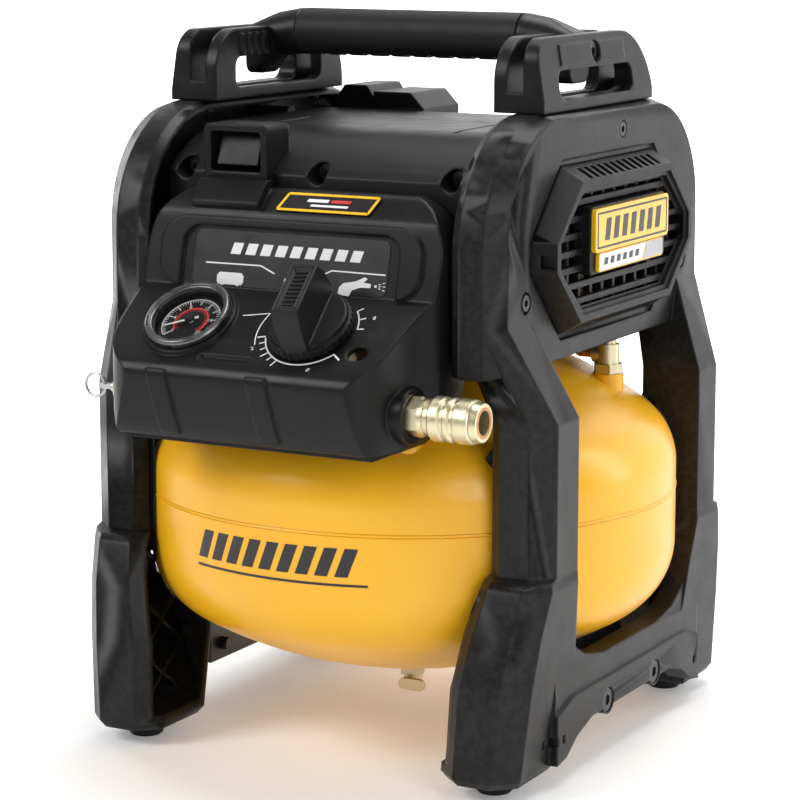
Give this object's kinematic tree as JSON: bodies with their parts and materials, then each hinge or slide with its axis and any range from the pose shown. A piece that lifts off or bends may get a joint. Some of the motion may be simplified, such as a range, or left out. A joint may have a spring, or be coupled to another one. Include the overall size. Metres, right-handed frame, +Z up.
{
  "type": "air compressor",
  "caption": "Cordless pancake air compressor with round tank, moulded side frames, carry handle, sloping gauge and regulator console, quick coupler and piston pump.",
  "frame": {"origin": "on the ground plane, at the centre of the overall box, which is the centre of the four rubber feet", "axes": "+Z up, +X to the operator's right facing the console with the coupler on that side, -Y toward the operator"},
  "size_m": [0.31, 0.395, 0.4145],
  "materials": {
    "yellow_paint": "gloss powder coat",
    "black_plastic": "fine moulded texture",
    "dark_plastic": "matte",
    "grey_plastic": "satin",
    "black_rubber": "matte",
    "badge_paint": "gloss",
    "label_film": "satin film",
    "brass": "turned",
    "steel": "zinc plated",
    "dark_steel": "satin black paint",
    "aluminium": "die cast",
    "copper": "drawn tube",
    "white_plastic": "gloss",
    "lens": "clear",
    "board": "solder mask"
  },
  "bodies": {
    "base": {"tank_upper_shell": "yellow_paint", "tank_lower_shell": "yellow_paint", "tank_weld_ring": "yellow_paint", "tank_brackets": "dark_steel", "tank_isolators": "black_rubber", "left_side_frame": "black_plastic", "right_side_frame": "black_plastic", "left_vent_cover": "dark_plastic", "right_vent_cover": "dark_plastic", "vent_badges": "badge_paint", "left_carry_loop": "black_plastic", "right_carry_loop": "black_plastic", "handle_core": "black_plastic", "handle_grip": "black_rubber", "tie_bars": "steel", "rubber_feet": "black_rubber", "front_shroud": "black_plastic", "rear_shroud": "black_plastic", "console_body": "black_plastic", "console_bottom_cover": "dark_plastic", "console_labels": "label_film", "switch_box": "black_plastic", "gauge_case": "dark_plastic", "gauge_bezel": "grey_plastic", "gauge_dial": "dark_plastic", "gauge_lens": "lens", "regulator_body": "brass", "regulator_spring": "steel", "manifold": "aluminium", "coupler_body": "brass", "safety_valve_body": "brass", "pressure_switch": "dark_plastic", "tank_tubes": "copper", "check_valve": "brass", "drain_valve_body": "brass", "pump_plate": "steel", "motor_stator": "copper", "motor_housing": "aluminium", "crank_bearings": "steel", "crankcase": "aluminium", "cylinder_barrel": "aluminium", "valve_plate": "steel", "cylinder_head": "aluminium", "control_board": "board", "frame_screws": "dark_steel", "clamp_bolts": "dark_steel"},
    "crank": {"crankshaft_rotor": "steel", "cooling_fan": "dark_plastic"},
    "conrod": {"connecting_rod": "steel"},
    "piston": {"piston": "aluminium"},
    "needle": {"gauge_needle": "white_plastic"},
    "knob": {"regulator_knob": "black_plastic"},
    "seat": {"regulator_seat": "steel"},
    "toggle": {"power_toggle": "grey_plastic"},
    "relief_pin": {"safety_valve_pin": "steel"},
    "relief_ring": {"safety_ring": "steel"},
    "sleeve": {"coupler_sleeve": "brass"},
    "poppet": {"coupler_poppet": "brass"},
    "drain": {"drain_handle": "brass"},
    "battery": {"battery_pack": "black_plastic"}
  },
  "joints": [
    {"name": "crank_spin", "type": "hinge", "parent": "base", "child": "crank", "pos_m": [0, 0, 0.274], "axis": [1, 0, 0], "continuous": true},
    {"name": "conrod_pivot", "type": "hinge", "parent": "crank", "child": "conrod", "pos_m": [0.002, 0, 0.279], "axis": [1, 0, 0], "continuous": true},
    {"name": "piston_slide", "type": "slide", "parent": "base", "child": "piston", "axis": [0, 0, 1], "range_m": [-0.01, 0]},
    {"name": "gauge_needle_turn", "type": "hinge", "parent": "base", "child": "needle", "pos_m": [-0.048, -0.165, 0.25366], "axis": [0, -0.5878, 0.809], "range_deg": [-270, 0]},
    {"name": "regulator_turn", "type": "hinge", "parent": "base", "child": "knob", "pos_m": [0.028, -0.165, 0.25366], "axis": [0, -0.5878, 0.809], "range_deg": [-240, 0]},
    {"name": "regulator_seat_slide", "type": "slide", "parent": "base", "child": "seat", "axis": [0, -0.5878, 0.809], "range_m": [-0.00398, 0], "deforming": ["regulator_spring"]},
    {"name": "power_toggle_rock", "type": "hinge", "parent": "base", "child": "toggle", "pos_m": [-0.047, -0.1085, 0.341], "axis": [1, 0, 0], "range_deg": [-10, 8]},
    {"name": "relief_pull", "type": "slide", "parent": "base", "child": "relief_pin", "axis": [-1, 0, 0], "range_m": [0, 0.003]},
    {"name": "relief_ring_swing", "type": "hinge", "parent": "relief_pin", "child": "relief_ring", "pos_m": [-0.1075, -0.16, 0.212], "axis": [0, 0, 1], "range_deg": [-60, 60]},
    {"name": "coupler_sleeve_slide", "type": "slide", "parent": "base", "child": "sleeve", "axis": [-1, 0, 0], "range_m": [0, 0.003]},
    {"name": "coupler_poppet_slide", "type": "slide", "parent": "base", "child": "poppet", "axis": [-1, 0, 0], "range_m": [0, 0.004]},
    {"name": "drain_lever_turn", "type": "hinge", "parent": "base", "child": "drain", "pos_m": [0, 0, 0.018], "axis": [0, 1, 0], "range_deg": [0, 90]},
    {"name": "battery_slide", "type": "slide", "parent": "base", "child": "battery", "axis": [0, 0, 1], "range_m": [0, 0.09]}
  ],
  "couplings": [
    {"joint": "conrod_pivot", "follows": "crank_spin", "ratio": -1},
    {"joint": "regulator_seat_slide", "follows": "regulator_turn", "m_per_rad": 0.00095}
  ]
}
